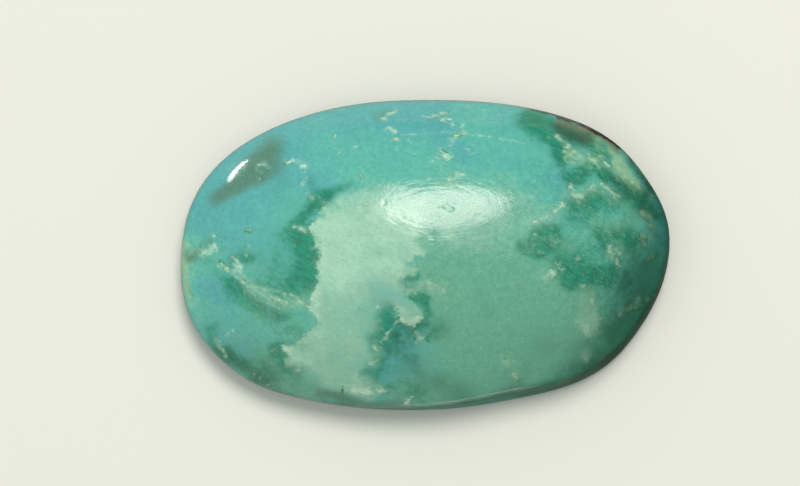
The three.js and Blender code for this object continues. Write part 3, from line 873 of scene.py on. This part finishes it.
class Turquoise(Finish):
    """The stone's material. Its noises and the edges of its minerals come first, and then each layer of
    mineral is laid over the ones before it."""

    def __init__(self):
        super().__init__(bpy.data.materials.new("polished turquoise"))
        place = self.node("ShaderNodeTexCoord", output="Object")
        lengthwise = self.drawn_out(place, 0.45, 0.3)
        crosswise = self.drawn_out(place, -0.9, 0.35)
        self.noises = {
            "broad": self.grain(place, 1.8),
            "clump": self.grain(place, 0.5),
            "crumb": self.grain(place, 0.16),
            "dust": self.grain(place, 0.06),
            "fibre": self.grain(lengthwise, 0.14) + 0.5 * self.grain(lengthwise, 0.05),
            "smoke": self.grain(lengthwise, 0.7) + 0.5 * self.grain(crosswise, 0.5),
        }
        self.patches = self.rise(self.grain(place, 0.7), -0.05, 0.15)
        self.hairs = self.threads(lengthwise, 0.13, 0.06)
        self.along = self.threads(lengthwise, 0.26, 0.07)
        self.across = self.threads(crosswise, 0.24, 0.06)

        self.blur = self.amount("blur")
        self.mottle = self.amount("mottle")
        self.wall = self.amount("wall")
        self.cloud_depth = self.amount("cloud") + self.noise(clump=0.55, crumb=0.4, dust=0.15, fibre=0.12)
        self.cloud = self.rise(self.cloud_depth, -0.07 - 0.7 * self.blur, 0.1 + 0.7 * self.blur)
        self.cream_depth = self.amount("cream") - 0.015 + self.noise(clump=0.12, crumb=0.08, fibre=0.16)
        self.cream_depth = self.cream_depth + self.mottle * self.noise(crumb=0.15)
        spikes = self.rise(self.cream_depth, -0.15, 0.0) * (self.along + self.across)
        body = 0.65 + 0.35 * self.hairs + self.noise(fibre=1.2, crumb=0.9)
        self.cream = self.rise(self.cream_depth, -0.07, 0.09) * body + 0.25 * spikes
        self.rock = self.shown("rock", -0.05, 0.05, clump=0.3, crumb=0.15, dust=0.08)

    def noise(self, **shares):
        """The sum of some noises, each by its share."""
        return sum(share * self.noises[name] for name, share in shares.items())

    def shown(self, name, low, high, **shares):
        """How much of a mineral shows: nothing where its amount and some noise come to less than low,
        all of it past high."""
        return self.rise(self.amount(name) + self.noise(**shares), low, high)

    def ground(self):
        """Blue to green, sage over it, and deep green that gathers beside the cloud and the cream."""
        green = self.shown("green", 0.05, 0.95, broad=0.5, clump=0.25)
        sage = self.shown("sage", 0.05, 0.95, clump=0.35, crumb=0.1)
        beside_cloud = self.rise(self.cloud_depth, -0.3, -0.02) * (1 - self.blur)
        beside_cream = self.rise(self.cream_depth, -0.13, -0.02) * (0.3 + self.noise(clump=2.2))
        deep = self.amount("deep") + 0.2 * beside_cloud + beside_cream
        deep = deep + self.noise(clump=0.7, crumb=0.6, dust=0.35) + self.mottle * self.noise(fibre=0.5)
        deep = self.rise(deep, 0.18, 0.82)
        wisps = self.rise(self.noise(smoke=1, fibre=0.5), -0.02, 0.35) * self.mottle
        return self.lay(
            SKY_BLUE,
            (green, AQUA),
            (sage, SAGE_GREEN),
            (deep * 0.9, BRIGHT_GREEN),
            (wisps * (0.45 - 0.3 * deep), SAGE_GREEN),
            (self.across * self.mottle * 0.35, BRIGHT_GREEN),
            (self.along * deep * 0.35, DARK_HAIR),
        )

    def hazes(self, colour):
        """Mint haze, yellower moss, and small pale crystals where the green is mottled."""
        haze = self.shown("haze", 0.08, 1.0, fibre=0.5, crumb=0.5, smoke=0.3)
        moss = self.shown("moss", 0.12, 0.95, clump=1.1, crumb=0.9, fibre=0.5)
        crystals = self.rise(self.noise(crumb=1, dust=0.6, clump=0.5), 0.14, 0.3)
        crystals = (crystals + 0.4 * self.hairs) * self.mottle
        return self.lay(colour, (haze * 0.7, MINT), (moss * 0.85, MOSS_GREEN), (crystals * 0.32, MINT))

    def mint_cloud(self, colour):
        """The cloud, with a glow, tufts and a frosted edge of its own, and feathers outside it."""
        glow = self.shown("glow", 0.05, 0.85, clump=0.8, crumb=0.4, smoke=0.6)
        veil = self.rise(self.noise(smoke=1), 0.0, 0.25)
        edge = self.rise(self.cloud_depth, -0.04, 0.06) - self.rise(self.cloud_depth, 0.08, 0.35)
        frost = edge * (1 - self.blur) * self.patches
        tufts = self.rise(self.noise(clump=1, crumb=0.5), 0.05, 0.35)
        inner = self.lay(
            MINT,
            (glow, MINT_GLOW),
            (veil * 0.3, SAGE_GREEN),
            (frost * 0.8, CREAM),
            (tufts * 0.3, CREAM),
            (self.hairs * 0.15, SAGE_GREEN),
        )
        thin = self.shown("thin", 0.2, 1.0, clump=0.5, smoke=0.4)
        feathers = self.rise(self.cloud_depth, -0.28, -0.04) * (self.along + self.across)
        feathers = feathers * (1 - self.blur) * (1 - self.cloud)
        return self.lay(colour, (self.cloud * (0.95 - 0.45 * thin), inner), (feathers * 0.08, CREAM))

    def cream_marks(self, colour):
        """The flecks and veins, and the hairlines, broken up by noise."""
        broken = 0.4 + 0.6 * self.rise(self.noise(crumb=1, fibre=0.5), -0.02, 0.12)
        strands = self.amount("hairline") * broken
        return self.lay(colour, (self.cream * (0.8 - 0.2 * self.mottle), CREAM), (strands * 0.72, CREAM))

    def stains_and_edge_shade(self, colour):
        """Olive and rust stains, the olive along the leaning wall and front rim partly painted shade, the
        skin of host rock, and a brownish tint on the girdle wall that is partly painted shade.
        """
        olive = self.shown("olive", 0.05, 1.0, clump=0.2, crumb=0.15) * (1 - 0.7 * self.cream)
        rust = self.shown("rust", 0.1, 0.9, crumb=0.5)
        return self.lay(
            colour,
            (olive * 0.85, OLIVE_BROWN),
            (rust * 0.7, RUST_BROWN),
            (self.rock * 0.92, ROCK_BROWN),
            # Partly painted shade: the girdle wall is tinted a darker olive-brown all round.
            (self.wall * 0.4 * (1 - self.rock), OLIVE_BROWN),
        )

    def depth(self, colour):
        """The darkest mineral with painted shade over the lower right end and the lower edge, a fine
        speckle of lighter and darker grains, and painted shade on the girdle wall.
        """
        # Dark mineral and painted shade: the lower right end and the lower edge are multiplied darker.
        dark_and_shaded = self.shown("dark_and_shaded", 0.02, 1.0, clump=0.4, crumb=0.2)
        colour = self.mix(1.0, colour, self.mix(dark_and_shaded, WHITE, BOTTLE_AND_SHADE_TINT), "MULTIPLY")
        grit = self.noise(dust=0.5, crumb=0.35) * (1 - 0.5 * self.cloud)
        # The girdle wall is made darker all round here: painted shade.
        speck_and_wall_shade = 1 + grit + self.noise(clump=0.15) - 0.35 * self.wall
        grey = self.node("ShaderNodeCombineColor", {}, {0: speck_and_wall_shade, 1: speck_and_wall_shade, 2: speck_and_wall_shade})
        return self.mix(1.0, colour, grey, "MULTIPLY")

    def polish(self, colour):
        """A glassy polish with the fine scratches of the wheel, worn dull along the edges."""
        oval = self.amount("oval")
        lanes = {0: oval * MM, 1: self.amount("oval_x") * 0.2 * MM, 2: self.amount("oval_y") * 0.2 * MM}
        lanes = self.node("ShaderNodeCombineXYZ", {}, lanes)
        relief = self.grain(lanes, 0.11) + 0.7 * self.grain(lanes, 0.3) + self.noise(crumb=0.5, clump=0.8)
        relief = relief * (1 - 0.8 * self.rise(oval, 1.3, 2.4))
        inputs = {"Strength": 0.8, "Distance": 0.008 * MM, "Height": relief}
        bumped = self.node("ShaderNodeBump", {}, inputs)
        roughness = 0.09 + 0.2 * self.amount("scuffed") + self.noise(crumb=0.08)
        roughness = roughness + 0.1 * self.cream + 0.2 * self.rock
        inputs = {"Base Color": colour, "Roughness": roughness, "Normal": bumped, "IOR": 1.5}
        polished = self.node("ShaderNodeBsdfPrincipled", {}, inputs)
        inputs = {"Base Color": colour, "Roughness": 0.6, "Normal": bumped, "IOR": 1.15}
        dull = self.node("ShaderNodeBsdfPrincipled", {}, inputs)
        worn = self.amount("worn") + 0.7 * self.wall + self.noise(clump=0.3)
        worn = self.rise(worn, 0.1, 0.9)
        return self.end(self.node("ShaderNodeMixShader", {}, {0: worn, 1: polished, 2: dull}))


stone = Turquoise()
colour = stone.ground()
for layer in (stone.hazes, stone.mint_cloud, stone.cream_marks, stone.stains_and_edge_shade, stone.depth):
    colour = layer(colour)
stone_mesh.materials.append(stone.polish(colour))


# The table: a plain pale sheet, a little warmer than white. It is far wider than the picture, so its
# edge is never seen.
TABLE_RADIUS = 0.5
TABLE_CORNERS = 96
turn = np.arange(TABLE_CORNERS) * 2 * np.pi / TABLE_CORNERS
table_edge = TABLE_RADIUS * np.stack([np.cos(turn), np.sin(turn), 0 * turn], 1)
table_mesh = bpy.data.meshes.new("table")
table_mesh.from_pydata(table_edge.tolist(), [], [list(range(TABLE_CORNERS))])
table = add_to_scene("table", table_mesh)
sheet = Finish(bpy.data.materials.new("pale sheet"))
pale = {"Base Color": paint(229, 229, 218), "Roughness": 0.9, "Specular IOR Level": 0.1}
table_mesh.materials.append(sheet.end(sheet.node("ShaderNodeBsdfPrincipled", {}, pale)))


# The light: a pale room, brighter on the left than on the right, a soft box that leans over the stone
# from behind, and two low strips. The left one draws the sharp white glint at the upper left, and
# the front one the thin line along the front edge.
room = Finish(bpy.data.worlds.new("room"))
direction = room.node("ShaderNodeTexCoord", output="Generated")
leftwards = {0: direction, 1: (-0.8, 0.0, 0.5)}
leftwards = room.node("ShaderNodeVectorMath", {"operation": "DOT_PRODUCT"}, leftwards, output="Value")
brightness = {"Value": leftwards, "From Min": -0.9, "From Max": 0.9, "To Min": 0.2, "To Max": 0.72}
brightness = room.node("ShaderNodeMapRange", {}, brightness)
air = {"Color": (0.99, 1.05, 1.05, 1.0), "Strength": brightness}
bpy.context.scene.world = room.end(room.node("ShaderNodeBackground", {}, air), "ShaderNodeOutputWorld")


def light_towards(name, shape, place, target, size, radiance, roll=0.0, colour=(1.0, 1.0, 1.0)):
    """A flat light at a place, facing a target. Its power is radiance times pi times its length times
    its width."""
    lamp = bpy.data.lights.new(name, "AREA")
    lamp.shape = shape
    lamp.size, lamp.size_y = size
    lamp.energy = radiance * math.pi * size[0] * size[1]
    lamp.color = colour
    holder = add_to_scene(name, lamp)
    holder.location = place
    holder.rotation_euler = (Vector(target) - Vector(place)).to_track_quat("-Z", "Y").to_euler()
    holder.rotation_euler.rotate_axis("Z", math.radians(roll))


def lamp_place(bearing, elevation, distance=0.3):
    """A point in the direction of a bearing and an elevation in degrees, a distance from the stone."""
    flat = distance * math.cos(math.radians(elevation))
    turn, lift = math.radians(bearing), distance * math.sin(math.radians(elevation))
    return flat * math.cos(turn), flat * math.sin(turn), lift


STONE_TOP = (0, 0, 0.003)
WARM = (1.0, 0.94, 0.93)
ABOVE = (0.027, 0.135, 0.265)
light_towards("soft box", "ELLIPSE", ABOVE, STONE_TOP, (0.156, 0.129), 8.6, roll=-38, colour=WARM)
light_towards("left strip", "ELLIPSE", lamp_place(135.6, 5.5), STONE_TOP, (0.078, 0.0072), 52, roll=32)
light_towards("front strip", "RECTANGLE", lamp_place(-83.5, 1.5), STONE_TOP, (0.11, 0.006), 28)


# The camera looks straight down on the dome, from above a point a little to the left of the stone's
# middle and behind it. The picture is as wide as the view width at the view level.
CAMERA_LENS = 150
SENSOR_WIDTH = 36
VIEW_WIDTH = 25.28
VIEW_LEVEL = 0.7
VIEW_MIDDLE = (-0.798, 0.387)
camera_data = bpy.data.cameras.new("camera")
camera_data.lens = CAMERA_LENS
camera_data.sensor_width = SENSOR_WIDTH
camera_data.clip_start = 0.001
camera = add_to_scene("camera", camera_data)
camera_height = VIEW_WIDTH * CAMERA_LENS / SENSOR_WIDTH + VIEW_LEVEL
camera.location = Vector((*VIEW_MIDDLE, camera_height)) * MM
bpy.context.scene.camera = camera
bpy.context.scene.view_settings.view_transform = "Standard"
